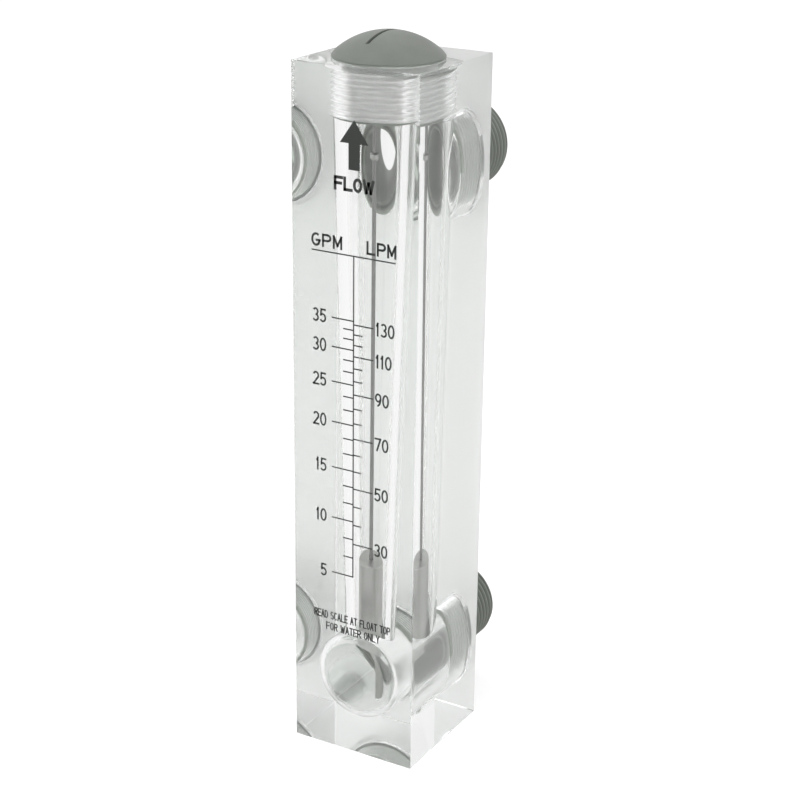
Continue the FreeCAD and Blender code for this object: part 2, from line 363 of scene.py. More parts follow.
# Each finish of the acrylic: its roughness where smoothest and where roughest, the share of light that
# passes, and the cells of its pattern in a metre.
FINISHES = {
    "polished": (0.0, 0.02, 1.0, 90.0),
    "milled": (0.16, 0.22, 0.85, 700.0),
    "tapped": (0.14, 0.2, 0.7, 700.0),
    "ground": (0.6, 0.8, 0.3, 700.0),
}
ACRYLIC_IOR = 1.49
PAINTED_ROOT_SHADE, PAINTED_CREST_HIGHLIGHT = 0.35, 1.2  # painted shade at a thread's root and painted highlight at its crest, as shares of the tint
WAVE_LENGTH = 0.314  # length of one band of a wave texture at scale 1
FEED = 0.4 * MM  # distance between the rings that a lathe tool leaves


def acrylic_material(finish, tint, depth):
    """Clear acrylic as one tool left it: its roughness wanders from smooth to rough.

    The light that doesn't pass scatters white on a cut surface. What passes through the plastic loses a
    little over its length.
    """
    smooth, rough, clear, cells = FINISHES[finish]
    material, tree, shader, place = new_material(finish + "_acrylic")
    shader.inputs["Base Color"].default_value = (1, 1, 1, 1)
    shader.inputs["Transmission Weight"].default_value = clear
    shader.inputs["IOR"].default_value = ACRYLIC_IOR
    roughened(tree, shader, noise(tree, place, cells), smooth, rough)
    inside = wired(tree, "ShaderNodeVolumeAbsorption", {"Color": (*tint, 1), "Density": depth})
    out = next(n for n in tree.nodes if n.type == "OUTPUT_MATERIAL")
    tree.links.new(inside["Volume"], out.inputs["Volume"])
    return material


def plastic_material(name, tint, thread=None):
    """Moulded plastic: a fine matt grain over slow shifts of tone.

    thread is the axis height, root radius and crest radius of a thread along Y; its roots get painted shade
    and its crests a painted highlight.
    """
    material, tree, shader, place = new_material(name)
    darker = tuple(0.88 * c for c in tint)
    lighter = tuple(min(1.1 * c, 1) for c in tint)
    painted_thread_light = (place, *thread) if thread else None
    coloured(tree, shader, noise(tree, place, 60.0), darker, lighter, painted_thread_light)
    fine = noise(tree, place, 2600.0, 2.0)
    roughened(tree, shader, fine, 0.42, 0.56)
    bumped(tree, shader, fine, 0.12, 0.04 * MM)
    return material


def shaded_roots(tree, tone, place, height, root, crest):
    """A tone scaled from the root's share, as painted shade, to the crest's share, as a painted highlight,
    by |sqrt(x x + (z - height)^2) - root|.
    """
    # painted light: the thread's roots are darkened as painted shade and its crests lightened as a painted
    # highlight
    axes = wired(tree, "ShaderNodeSeparateXYZ", {0: place})
    up = worked(tree, "SUBTRACT", axes["Z"], height)
    level = worked(tree, "MULTIPLY", up, up)
    square = worked(tree, "MULTIPLY_ADD", axes["X"], axes["X"], level)
    above = worked(tree, "SUBTRACT", worked(tree, "POWER", square, 0.5), root)
    share = worked(tree, "DIVIDE", worked(tree, "ABSOLUTE", above), crest - root)
    share = worked(tree, "MINIMUM", share, 1.0)
    factor = worked(tree, "MULTIPLY_ADD", share, PAINTED_CREST_HIGHLIGHT - PAINTED_ROOT_SHADE, PAINTED_ROOT_SHADE)
    return wired(tree, "ShaderNodeVectorMath", {0: tone, "Scale": factor}, operation="SCALE")[0]


def worked(tree, operation, *values):
    """One maths node's result; each value is a number or another node's output."""
    return wired(tree, "ShaderNodeMath", dict(enumerate(values)), operation=operation)[0]


def steel_material(name, tint):
    """Turned stainless steel: fine rings, one feed apart along the axis, and a soft spread of gloss."""
    material, tree, shader, place = new_material(name)
    shader.inputs["Metallic"].default_value = 1.0
    tool = {"Vector": place, "Scale": WAVE_LENGTH / FEED, "Distortion": 0.6, "Detail": 2.0}
    rings = wired(tree, "ShaderNodeTexWave", tool, wave_type="BANDS", bands_direction="Z")["Fac"]
    coloured(tree, shader, noise(tree, place, 120.0), tuple(0.9 * c for c in tint), tint)
    roughened(tree, shader, rings, 0.3, 0.42)
    bumped(tree, shader, rings, 0.15, 0.03 * MM)
    return material


def rubber_material(tint):
    """Grey rubber with a dull, slightly dusty surface."""
    material, tree, shader, place = new_material("seal_rubber")
    slow = noise(tree, place, 300.0)
    coloured(tree, shader, slow, tint, tuple(1.2 * c for c in tint))
    roughened(tree, shader, slow, 0.5, 0.7)
    return material


def ink_material(tint):
    """Screen-printed ink, a little thin in places."""
    material, tree, shader, place = new_material("scale_ink")
    fine = noise(tree, place, 1800.0)
    coloured(tree, shader, fine, tint, tuple(1.6 * c for c in tint))
    roughened(tree, shader, fine, 0.45, 0.6)
    return material


# ---- the block

ROUND = 160  # points round the block's cuts and the cap's head
BEYOND = 3 * MM  # how far a cut runs out past the face it opens
OVERLAP = 1 * MM  # how far one solid runs into the next
SQUARE_ON = 0.97  # cosine past which a face counts as square to the Y axis
FLAT_ANGLE = 0.01  # radians between two faces, below which they are one
CAP_THREAD_DEPTH = 0.6  # depth of the cap's thread as a share of its pitch
PORT_ROOT = 0.15 * MM  # how far the root of a port's thread stands outside the milled bore


def moved(surface, place=(0, 0, 0), along_y=False):
    """A surface's points turned back along Y if asked, then shifted."""
    verts, faces = surface
    if along_y:
        verts = lay_along_y(verts)
    return verts + np.asarray(place, dtype=float), faces


def chamfered_bar(edge, polished, ground):
    """The block's outside as a convex solid: each corner is cut to three points, one edge width in.

    Its back is ground; every other face is polished.
    """
    low, high = BLOCK
    signs = np.array([[x, y, z] for x in (0, 1) for y in (0, 1) for z in (0, 1)])
    corners = low + signs * (high - low)
    inward = 1 - 2 * signs
    points = []
    for axis in range(3):
        shift = inward * edge
        shift[:, axis] = 0
        points.append(corners + shift)
    return finished(hull_of("bar", np.vstack(points)), polished, ground, 1)


def finished(obj, wall, end=None, side=0):
    """Give a solid one finish on its walls and another on its flat ends square to the Y axis.

    side is +1 or -1 for the back or the front end alone.
    """
    obj.data.materials.append(wall)
    if end:
        obj.data.materials.append(end)
        flat = np.empty(len(obj.data.polygons) * 3)
        obj.data.polygons.foreach_get("normal", flat)
        chosen = side * flat.reshape(-1, 3)[:, 1] > SQUARE_ON
        obj.data.polygons.foreach_set("material_index", chosen.astype(np.int32))
    return obj


def hull_of(name, points):
    """The convex hull of some points as an object, with one face for each of its flat sides."""
    mesh = bpy.data.meshes.new(name)
    mesh.from_pydata(np.asarray(points, dtype=float).tolist(), [], [])
    obj = bpy.data.objects.new(name, mesh)
    bpy.context.scene.collection.objects.link(obj)
    work = bmesh.new()
    work.from_mesh(obj.data)
    bmesh.ops.convex_hull(work, input=work.verts)
    bmesh.ops.dissolve_limit(work, angle_limit=FLAT_ANGLE, verts=work.verts, edges=work.edges)
    work.to_mesh(obj.data)
    work.free()
    return obj


def metering_bore(size):
    """The tapered bore with the stop's socket below it: a lathe profile up the bore's axis."""
    floor = INLET_Z - size.port_bore
    seat = TOP_Z - size.cap_depth
    above = seat + 4 * OVERLAP
    profile = [(0, floor - size.socket_depth), (size.socket_radius, floor - size.socket_depth),
               (size.socket_radius, INLET_Z), (size.bore_low, INLET_Z), (size.bore_top, seat),
               (size.bore_top, above), (0, above)]
    return moved(lathe(profile, ROUND), AXIS)


def recess(radius, face, depth):
    """A flat round recess that opens in a face: a lathe profile from its floor to beyond the face."""
    floor, above = face - depth, face + BEYOND
    return lathe([(0, floor), (radius, floor), (radius, above), (0, above)], ROUND)


def cap_hole(size):
    """The cap's tapped hole and the seal recess over it."""
    crest = size.cap_thread + size.play
    screw = threaded_solid(crest, crest - CAP_THREAD_DEPTH * size.cap_pitch, size.cap_pitch,
                           size.cap_depth - size.cap_pitch)
    start = TOP_Z - size.cap_depth + size.cap_pitch
    return [moved(screw, (0, AXIS_Y, start)),
            moved(recess(size.recess_radius, TOP_Z, size.recess_depth), AXIS)]


def port_bore(size, height, end):
    """A rear port's milled bore: a flat end and a round corner, up to just inside the thread."""
    start = BACK_Y - size.port_depth + size.port_pitch
    corner = size.port_corner
    turn = arc((size.port_bore - corner, end + corner), corner, -90, 0, 12)
    mouth = [(size.port_bore, start + OVERLAP), (0, start + 2 * OVERLAP)]
    bore = lathe(np.vstack([[(0, end)], turn, mouth]), ROUND)
    return moved(bore, (0, 0, height), along_y=True)


def port_mouth(size, height):
    """A rear port's thread, and the seal recess over it."""
    turns = threaded_solid(size.port_thread + size.play, size.port_bore + PORT_ROOT, size.port_pitch,
                           size.port_depth - size.port_pitch)
    screw = moved(turns, (0, 0, BACK_Y - size.port_depth + size.port_pitch))
    mouth = recess(size.port_recess, BACK_Y, size.port_recess_depth)
    return [moved(shape, (0, 0, height), along_y=True) for shape in (screw, mouth)]


class ROTAMETER_OT_block(bpy.types.Operator):
    """Clear block: a chamfered bar less the tapered bore, the cap's hole and the two ports"""
    bl_idname = "rotameter.block"
    bl_label = "Clear block"

    def execute(self, context):
        size = context.scene.rotameter_block
        tints = context.scene.rotameter_colours
        polished, milled, tapped, ground = [
            acrylic_material(finish, tints.acrylic, tints.depth) for finish in FINISHES]
        cutters = [finished(mesh_object("bore", *metering_bore(size)), polished)]
        holes = [cap_hole(size)]
        for height, end in ((INLET_Z, size.inlet_end), (OUTLET_Z, size.outlet_end)):
            port = mesh_object("port", *port_bore(size, height, end))
            cutters.append(finished(port, milled, polished, -1))
            holes.append(port_mouth(size, height))
        for screw, mouth in holes:
            cutters.append(finished(mesh_object("tap", *screw), tapped))
            cutters.append(finished(mesh_object("recess", *mouth), milled))
        bar = chamfered_bar(size.edge, polished, ground)
        block = combined("clear_block", bar, cutters, "DIFFERENCE")
        settle(block, "block", replaces="body_block")
        return {"FINISHED"}


# ---- the moulded pieces

CAP_LIP = 1.2 * MM  # height of the cap's upright rim
CAP_SOFT = 0.5 * MM  # radius of that rim's edges
CAP_NECK = 0.8 * MM  # how far the smooth neck tapers down into the thread
SLOT_WIDTH, SLOT_LENGTH, SLOT_DEPTH = 1.4 * MM, 44 * MM, 3.2 * MM
SLOT_TURN = math.radians(4)  # the slot's turn from the front-to-back line
ROD_HOLE, ROD_HOLE_DEPTH, ROD_HOLE_TIP = 1.3 * MM, 9 * MM, 9.6 * MM  # radius, depth, depth on the axis
OUTER_THREAD_DEPTH = 0.74  # depth of a nipple's outer thread as a share of its pitch
SHOULDER, SHOULDER_THICK = 21 * MM, 4 * MM  # the shoulder's radius and thickness
SHOULDER_GAP = 0.06 * MM  # air between the shoulder and the block's back
SHOULDER_EDGE, BORE_EDGE = 0.5 * MM, 0.6 * MM
FLAT_NEAR, FLAT_FAR = 19 * MM, 24 * MM  # the spanner flats' distance from the axis, and past the rim
FLAT_TOP = 4.5 * MM  # height over the block's back that clears the shoulder
HAIR = 0.0001 * MM  # keeps a cut's end off the plane of another face


class ROTAMETER_OT_cap(bpy.types.Operator):
    """Screw cap: a threaded plug under a domed head with a driver slot"""
    bl_idname = "rotameter.cap"
    bl_label = "Screw cap"

    def execute(self, context):
        size = context.scene.rotameter_block
        box = np.array(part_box("top_cap"))
        foot, head, top = box[0][2], box[1][0], box[1][2]
        neck = TOP_Z - size.recess_depth
        plug = trimmed_screw(size.cap_thread, CAP_THREAD_DEPTH * size.cap_pitch, size.cap_pitch,
                             foot, neck + OVERLAP, chamfer=1 * MM, datum=TOP_Z - size.cap_depth)
        set_points(plug.data, points_of(plug.data) + AXIS)
        cover = mesh_object("cover", *cap_cover(size.cap_thread, head, neck, top))
        body = combined("plug", plug, [cover], "UNION")
        cutters = [slot_cutter(top), mesh_object("rod_hole", *rod_hole(foot))]
        cap = combined("screw_cap", body, cutters, "DIFFERENCE")
        material = plastic_material("cap_plastic", context.scene.rotameter_colours.cap)
        settle(cap, "cap", material, "top_cap")
        return {"FINISHED"}


def cap_cover(crest, head, neck, top):
    """The cap's neck and head: a rim with soft edges under a dome.

    The dome is part of a sphere of radius (head^2 + rise^2) / (2 rise), which meets the rim's radius.
    """
    rise = top - TOP_Z - CAP_LIP
    dome = (head ** 2 + rise ** 2) / (2 * rise)
    turn = math.degrees(math.asin(head / dome))
    crown = arc((0, top - dome), dome, 90 - turn, 90, 28)[2:]
    crown[-1][0] = 0  # exactly on the axis
    rim = arc((head - CAP_SOFT, TOP_Z + CAP_LIP - CAP_SOFT), CAP_SOFT, 0, 50, 6)
    mouth = arc((head - CAP_SOFT, TOP_Z + CAP_SOFT), CAP_SOFT, -90, 0, 6)
    below = [(0, neck - CAP_NECK), (crest - CAP_NECK, neck - CAP_NECK), (crest, neck), (crest, TOP_Z)]
    return moved(lathe(np.vstack([below, mouth, rim, crown]), ROUND), AXIS)


def rod_hole(foot):
    """The blind hole that takes the rod's top, with a drill's shallow cone at its end."""
    below = foot - OVERLAP
    profile = [(0, below), (ROD_HOLE, below), (ROD_HOLE, foot + ROD_HOLE_DEPTH), (0, foot + ROD_HOLE_TIP)]
    return moved(lathe(profile, 48), AXIS)


def slot_cutter(top):
    """A blade across the cap's axis, turned from the front-to-back line."""
    corners = np.array([[x, y, z] for x in (-SLOT_WIDTH / 2, SLOT_WIDTH / 2)
                        for y in (-SLOT_LENGTH / 2, SLOT_LENGTH / 2)
                        for z in (top - SLOT_DEPTH, top + 2 * OVERLAP)])
    c, s = math.cos(SLOT_TURN), math.sin(SLOT_TURN)
    across = corners[:, 0] * c + corners[:, 1] * s
    along = -corners[:, 0] * s + corners[:, 1] * c + AXIS_Y
    return hull_of("blade", np.stack([across, along, corners[:, 2]], axis=1))


def trimmed_screw(crest, depth, pitch, low, high, chamfer, datum):
    """A screw from low to high, kept within an outline with a chamfer at each end.

    Its turns are counted from the datum, so that they mesh with a hole whose turns start there.
    """
    start = datum - pitch * (math.ceil((datum - low) / pitch) + 1)
    screw = threaded_solid(crest, crest - depth, pitch, high - start + pitch)
    body = mesh_object("screw", *moved(screw, (0, 0, start)))
    clear = 0.1 * MM
    over = crest + clear
    keep = lathe([(0, low), (crest - chamfer, low), (over, low + chamfer + clear),
                  (over, high - chamfer - clear), (crest - chamfer, high), (0, high)], 144)
    return combined("screw", body, [mesh_object("keep", *keep)], "INTERSECT")


def nipple(size, box, height, name):
    """Two threads joined by a neck and a shoulder, bored through, with two spanner flats."""
    inner, outer = box[0][1], box[1][1]
    neck = BACK_Y - size.port_recess_depth
    near = trimmed_screw(size.port_thread, size.port_thread - size.port_bore - PORT_ROOT, size.port_pitch,
                         inner, neck + 0.2 * MM, chamfer=0.9 * MM, datum=BACK_Y - size.port_depth)
    far = trimmed_screw(size.pipe_thread, OUTER_THREAD_DEPTH * size.pipe_pitch, size.pipe_pitch,
                        BACK_Y + 2 * OVERLAP, outer, chamfer=1 * MM, datum=outer)
    body = combined("tube", near, [far, mesh_object("collar", *collar(size.pipe_thread, neck))], "UNION")
    through = mesh_object("bore", *passage(size.nipple_bore, inner, outer))
    cutters = [through, flat_cutter(-1), flat_cutter(1)]
    tube = combined(name, body, cutters, "DIFFERENCE")
    set_points(tube.data, lay_along_y(points_of(tube.data)) + [0, 0, height])
    return tube


def collar(radius, neck):
    """A nipple's neck and shoulder, up its axis from inside the near thread: a lathe profile."""
    below, edge = neck - OVERLAP, SHOULDER_EDGE
    face, back = BACK_Y + SHOULDER_GAP, BACK_Y + SHOULDER_THICK
    return lathe([(0, below), (radius - OVERLAP, below), (radius, neck), (radius, face),
                  (SHOULDER - edge, face), (SHOULDER, face + edge), (SHOULDER, back - edge),
                  (SHOULDER - edge, back), (0, back)], 144)


def passage(bore, inner, outer):
    """A nipple's bore, wider by one edge at both ends: a lathe profile."""
    edge = BORE_EDGE
    below, above = inner - OVERLAP, outer + OVERLAP
    return lathe([(0, below), (bore + edge, below), (bore + edge, inner), (bore, inner + edge),
                  (bore, outer - edge), (bore + edge, outer), (bore + edge, above), (0, above)], 128)


def set_points(mesh, points):
    """Put a mesh's points at new places."""
    mesh.vertices.foreach_set("co", points.ravel())
    mesh.update()


def points_of(mesh):
    """A mesh's points as an array."""
    flat = np.empty(len(mesh.vertices) * 3)
    mesh.vertices.foreach_get("co", flat)
    return flat.reshape(-1, 3)


def flat_cutter(side):
    """A slab that takes a spanner flat off a shoulder, before the tube is laid along Y."""
    near, far = sorted((side * FLAT_NEAR, side * FLAT_FAR))
    corners = [[x, y, z] for x in (-30 * MM, 30 * MM) for y in (near, far)
               for z in (BACK_Y - HAIR, BACK_Y + FLAT_TOP)]
    return hull_of("slab", corners)


class ROTAMETER_OT_nipples(bpy.types.Operator):
    """Port nipples: two threaded tubes screwed into the back of the block"""
    bl_idname = "rotameter.nipples"
    bl_label = "Port nipples"

    def execute(self, context):
        size = context.scene.rotameter_block
        tint = context.scene.rotameter_colours.nipple
        root = size.pipe_thread - OUTER_THREAD_DEPTH * size.pipe_pitch
        for node, box, height in (("lower_port_nipple", INLET, INLET_Z),
                                  ("upper_port_nipple", OUTLET, OUTLET_Z)):
            made = nipple(size, box, height, node.replace("port", "threaded"))
            # the nipple's thread roots get painted shade and its crests a painted highlight in the material
            thread = (float(height), root, size.pipe_thread)
            material = plastic_material(node.replace("nipple", "plastic"), tint, thread)
            settle(made, "block", material, node)
        return {"FINISHED"}


# ---- the metal pieces and seals

ROD_EDGE, STOP_EDGE, FLOAT_FOOT, FLOAT_HEAD = 0.3 * MM, 0.4 * MM, 1 * MM, 0.3 * MM
STOP_PLAY, FLOAT_PLAY, SEAL_PLAY = 0.01 * MM, 0.08 * MM, 0.05 * MM  # air inside each ring
WHOLE = 1  # a step so long that no run of a profile is divided


def edged(inner, outer, low, high, foot, head):
    """A profile from an inner radius out, up the outside and back in, with its two outer edges cut off."""
    return [(inner, low), (outer - foot, low), (outer, low + foot),
            (outer, high - head), (outer - head, high), (inner, high)]


def lathed_piece(name, profile, body, material, node, segments=96):
    """A round piece on the bore's axis in place of its CAD node."""
    made = mesh_object(name, *moved(lathe(profile, segments), AXIS))
    return settle(made, body, material, node)


class ROTAMETER_OT_metal(bpy.types.Operator):
    """Guide rod, its two stops and the float, all turned from bar"""
    bl_idname = "rotameter.metal"
    bl_label = "Rod, stops and float"

    def execute(self, context):
        tints = context.scene.rotameter_colours
        steel = steel_material("turned_steel", tints.steel)
        drawn = steel_material("drawn_rod", tints.rod)
        rod = ROD[1][0]
        profile = edged(0, rod, ROD[0][2], ROD[1][2], ROD_EDGE, ROD_EDGE)
        lathed_piece("drawn_guide_rod", profile, "block", drawn, "guide_rod", 48)
        for name, node in (("turned_lower_stop", "lower_float_stop"),
                           ("turned_upper_stop", "upper_float_stop")):
            box = np.array(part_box(node))
            profile = edged(rod + STOP_PLAY, box[1][0], box[0][2], box[1][2], STOP_EDGE, STOP_EDGE)
            lathed_piece(name, profile, "block", steel, node)
        inner, high = rod + FLOAT_PLAY, FLOAT[1][2]
        profile = edged(inner, FLOAT[1][0], FLOAT[0][2], high, FLOAT_FOOT, FLOAT_HEAD)
        profile[-1:] = [(inner + FLOAT_HEAD, high), (inner, high - FLOAT_HEAD)]
        lathed_piece("turned_float", profile, "float", steel, "float", 128)
        return {"FINISHED"}


class ROTAMETER_OT_seals(bpy.types.Operator):
    """Seal rings: a circle carried round the cap's neck and round each nipple's neck"""
    bl_idname = "rotameter.seals"
    bl_label = "Seal rings"

    def execute(self, context):
        size = context.scene.rotameter_block
        rubber = rubber_material(context.scene.rotameter_colours.rubber)
        rings = [("cap_o_ring", "cap_seal", AXIS, False, size.cap_thread),
                 ("lower_port_o_ring", "block", (0, 0, INLET_Z), True, size.pipe_thread),
                 ("upper_port_o_ring", "block", (0, 0, OUTLET_Z), True, size.pipe_thread)]
        for node, body, place, along_y, neck in rings:
            axis = 1 if along_y else 2
            box = np.array(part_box(node))
            low, high = box[0][axis], box[1][axis]
            section = (high - low) / 2
            mean = neck + section + SEAL_PLAY
            loop = arc((mean, (low + high) / 2), section, -90, 270, 33)[:-1]
            surface = moved(lathe(loop, 144, WHOLE), place, along_y)
            made = mesh_object(node.replace("o_ring", "seal_ring"), *surface)
            settle(made, body, rubber, node)
        return {"FINISHED"}


# ---- the printed scale

LITRES = 3.785  # litres in a gallon
HEADER = 192.3 * MM  # height of the line under the scales' units
HEADER_LEFT, HEADER_RIGHT = -17 * MM, 16.5 * MM
GALLONS_LONG, GALLONS_SHORT = -8.9 * MM, -4.2 * MM  # how far the gallons' lines reach to the left
LITRES_LONG, LITRES_SHORT = 8.0 * MM, 3.6 * MM  # how far the litres' lines reach to the right
GALLONS_EDGE, LITRES_EDGE = -11.1 * MM, 8.7 * MM  # right edge of the gallons, left edge of the litres
INK_LIFT = 0.03 * MM  # how far the print lies in front of the block

# Each text, its left, right, low and high edges in millimetres, and its pen as a share of the digits'.
WORDS = (
    ("GPM", -17.1, -4.6, 193.7, 198.5, 1.2),
    ("LPM", 5.0, 16.7, 193.7, 198.5, 1.2),
    ("READ SCALE AT FLOAT TOP", -16.6, 15.9, 52.5, 55.7, 0.7),
    ("FOR WATER ONLY", -11.5, 11.5, 48.0, 51.2, 0.7),
    ("FLOW", -8.0, 8.0, 214.5, 219.5, 1.6),
)
ARROW = ((-2.2, 222), (2.2, 222), (2.2, 231), (5.6, 231), (0, 239), (-5.6, 231), (-2.2, 231))
ARROW_FACES = ((0, 1, 2), (0, 2, 6), (5, 6, 4), (6, 2, 4), (2, 3, 4))
LETTER_WIDTHS = {" ": 0.5, "1": 0.5, "W": 1.35}  # in usual letter widths, where that isn't 1
LETTER_GAP = 0.45

# The pen strokes of each letter used, in a box one wide and one high: runs of corners, and arcs written
# as (centre across, centre up, half width, half height, first angle, last angle) in degrees.
STROKES = {
    "0": [(0.5, 0.5, 0.5, 0.5, 0, 360)],
    "1": [[(0.25, 0.8), (0.6, 1), (0.6, 0)]],
    "2": [(0.5, 0.72, 0.48, 0.28, 160, -35), [(0.89, 0.56), (0.02, 0), (1, 0)]],
    "3": [(0.48, 0.75, 0.44, 0.25, 150, -90), (0.48, 0.25, 0.5, 0.25, 90, -150)],
    "5": [[(0.92, 1), (0.15, 1), (0.08, 0.52)], (0.46, 0.31, 0.52, 0.31, 138, -150)],
    "7": [[(0, 1), (1, 1), (0.35, 0)]],
    "9": [(0.5, 0.69, 0.48, 0.31, 0, 360), (0.28, 0.69, 0.7, 0.69, 0, -85)],
    "A": [[(0, 0), (0.5, 1), (1, 0)], [(0.18, 0.34), (0.82, 0.34)]],
    "C": [(0.5, 0.5, 0.5, 0.5, 48, 312)],
    "D": [[(0.45, 0), (0, 0), (0, 1), (0.45, 1)], (0.45, 0.5, 0.55, 0.5, 90, -90)],
    "E": [[(1, 0), (0, 0), (0, 1), (1, 1)], [(0, 0.52), (0.85, 0.52)]],
    "F": [[(0, 0), (0, 1), (1, 1)], [(0, 0.5), (0.85, 0.5)]],
    "G": [(0.5, 0.5, 0.5, 0.5, 48, 318), [(0.87, 0.17), (1, 0.44), (0.58, 0.44)]],
    "L": [[(0, 1), (0, 0), (1, 0)]],
    "M": [[(0, 0), (0, 1), (0.5, 0.2), (1, 1), (1, 0)]],
    "N": [[(0, 0), (0, 1), (1, 0), (1, 1)]],
    "O": [(0.5, 0.5, 0.5, 0.5, 0, 360)],
    "P": [[(0, 0), (0, 1), (0.58, 1)], (0.58, 0.74, 0.42, 0.26, 90, -90), [(0.58, 0.48), (0, 0.48)]],
    "R": [[(0, 0), (0, 1), (0.56, 1)], (0.56, 0.75, 0.42, 0.25, 90, -90), [(0.56, 0.5), (0, 0.5)],
          [(0.5, 0.5), (1, 0)]],
    "S": [(0.5, 0.75, 0.46, 0.25, 28, 270), (0.5, 0.25, 0.5, 0.25, 90, -152)],
    "T": [[(0, 1), (1, 1)], [(0.5, 1), (0.5, 0)]],
    "W": [[(0, 1), (0.25, 0), (0.5, 0.8), (0.75, 0), (1, 1)]],
    "Y": [[(0, 1), (0.5, 0.45), (1, 1)], [(0.5, 0.45), (0.5, 0)]],
}


def bars(rows):
    """Flat rectangles in the dial's plane from rows of (left, right, low, high)."""
    corners = np.asarray(rows, dtype=float)[:, [0, 2, 1, 2, 1, 3, 0, 3]].reshape(-1, 2)
    return corners, np.arange(len(corners)).reshape(-1, 4)


def straight_strokes(points, half):
    """A bar of one width from each corner of a run to the next, with square ends half a width beyond."""
    runs = np.diff(points, axis=0)
    along = half * runs / np.linalg.norm(runs, axis=1)[:, None]
    side = np.stack([-along[:, 1], along[:, 0]], axis=1)
    start, end = points[:-1] - along, points[1:] + along
    corners = np.stack([start - side, end - side, end + side, start + side], axis=1)
    return corners.reshape(-1, 2), np.arange(4 * len(runs)).reshape(-1, 4)


def curved_stroke(points, half):
    """A ribbon of one width along a smooth run of points: the reach at each is half / cos(turn / 2)."""
    runs = np.diff(points, axis=0)
    along = runs / np.linalg.norm(runs, axis=1)[:, None]
    before, after = np.vstack([along[:1], along]), np.vstack([along, along[-1:]])
    across = before + after
    across = np.stack([-across[:, 1], across[:, 0]], axis=1)
    side = np.stack([-before[:, 1], before[:, 0]], axis=1)
    reach = half / (across * side).sum(axis=1)
    left, right = points + across * reach[:, None], points - across * reach[:, None]
    verts = np.vstack([left, right])
    here, count = np.arange(len(points) - 1), len(points)
    return verts, np.stack([here, here + count, here + count + 1, here + 1], axis=1)


def round_run(across, up, wide, tall, first, last):
    """22 points (across + wide cos a, up + tall sin a), for a from first to last in degrees."""
    turn = np.radians(np.linspace(first, last, 22))
    return np.stack([across + wide * np.cos(turn), up + tall * np.sin(turn)], axis=1)


def letter_shares(text):
    """How wide each letter of a text is and where it starts, in usual letter widths."""
    shares = np.array([LETTER_WIDTHS.get(letter, 1.0) for letter in text])
    return shares, np.cumsum(shares + LETTER_GAP) - shares - LETTER_GAP


def joined(parts):
    """Several flat patterns as one: their points in turn, and each one's faces counted on from there."""
    points = [flat for flat, _ in parts]
    starts = np.cumsum([0] + [len(flat) for flat in points])
    return np.vstack(points), [faces + start for (_, faces), start in zip(parts, starts)]


def lettering(text, left, right, low, high, weight):
    """Words drawn with a pen of one weight, spread over a box of the dial's plane."""
    shares, edges = letter_shares(text)
    unit = (right - left - weight) / (edges[-1] + shares[-1])
    tall = high - low - weight
    drawn = []
    for letter, share, edge in zip(text, shares, edges):
        corner = [left + weight / 2 + unit * edge, low + weight / 2]
        for stroke in STROKES.get(letter, ()):
            curved = isinstance(stroke, tuple)
            run = round_run(*stroke) if curved else np.array(stroke)
            draw = curved_stroke if curved else straight_strokes
            drawn.append(draw(run * [unit * share, tall] + corner, weight / 2))
    points, faces = joined(drawn)
    return points, np.vstack(faces)


def number(value, size, level, left=None, right=None):
    """A scale number centred on its line, set out from its left or its right edge."""
    text = str(value)
    shares, edges = letter_shares(text)
    wide = size.pen + size.digit_width * (edges[-1] + shares[-1])
    left = right - wide if left is None else left
    return lettering(text, left, left + wide, level - size.digit / 2, level + size.digit / 2, size.pen)


def scale_height(size, gallons):
    """Height of a flow on the scale: zero + slope q - bend q squared."""
    return size.zero + size.slope * gallons - size.bend * gallons ** 2


def graduations(size):
    """Lines of both scales, in thirds of a unit: gallons left of the upright, litres right of it."""
    half = size.line / 2
    rows = []
    for thirds in range(15, 106, 5):
        level = scale_height(size, thirds / 3)
        reach = GALLONS_LONG if thirds % 15 == 0 else GALLONS_SHORT
        rows.append((reach, 0, level - half, level + half))
    for thirds in range(90, 391, 20):
        level = scale_height(size, thirds / 3 / LITRES)
        reach = LITRES_LONG if thirds % 60 == 30 else LITRES_SHORT
        rows.append((0, reach, level - half, level + half))
    return rows


class ROTAMETER_OT_dial(bpy.types.Operator):
    """Printed scale: two graduated scales, their numbers, a flow arrow and a reading note"""
    bl_idname = "rotameter.dial"
    bl_label = "Printed scale"

    def execute(self, context):
        size = context.scene.rotameter_scale
        half = size.line / 2
        lowest = scale_height(size, 5)
        header = (HEADER_LEFT, HEADER_RIGHT, HEADER - half, HEADER + half)
        parts = [bars(graduations(size)), bars([header, (-half, half, lowest - half, HEADER)])]
        for gallons in range(5, 36, 5):
            parts.append(number(gallons, size, scale_height(size, gallons), right=GALLONS_EDGE))
        for litres in range(30, 131, 20):
            parts.append(number(litres, size, scale_height(size, litres / LITRES), left=LITRES_EDGE))
        for text, left, right, low, high, weight in WORDS:
            parts.append(lettering(text, left * MM, right * MM, low * MM, high * MM, weight * size.pen))
        parts.append((np.array(ARROW) * MM, np.array(ARROW_FACES)))
        flat, faces = joined(parts)
        front = np.full(len(flat), FRONT_Y - INK_LIFT)
        dial = mesh_object("printed_scale", np.stack([flat[:, 0], front, flat[:, 1]], axis=1), faces)
        settle(dial, "block", ink_material(context.scene.rotameter_colours.ink))
        return {"FINISHED"}


# ---- the stage

LAMPS = (
    # name, azimuth and elevation in degrees, reach and size in metres, power in watts
    ("key_softbox", -25, 40, 1.4, 0.9, 0.9, 2.7),
    ("fill_softbox", 75, 35, 1.5, 0.7, 1.0, 1.5),
    ("top_softbox", 200, 75, 1.4, 1.0, 1.0, 1.2),
)
# Strengths for diffuse rays, for rays that mirror in or pass through a surface, and for the camera's.
SURROUND = (0.85, 0.93, 1.0)
FLOOR_GLOW = (0.0, 0.44, 0.65)
FLOOR_GREY = (0.5, 0.5, 0.5, 1)
FLOOR_RADIUS, FLOOR_POINTS = 4, 96
FLOOR_GAP = 0.2 * MM  # air under the block's foot


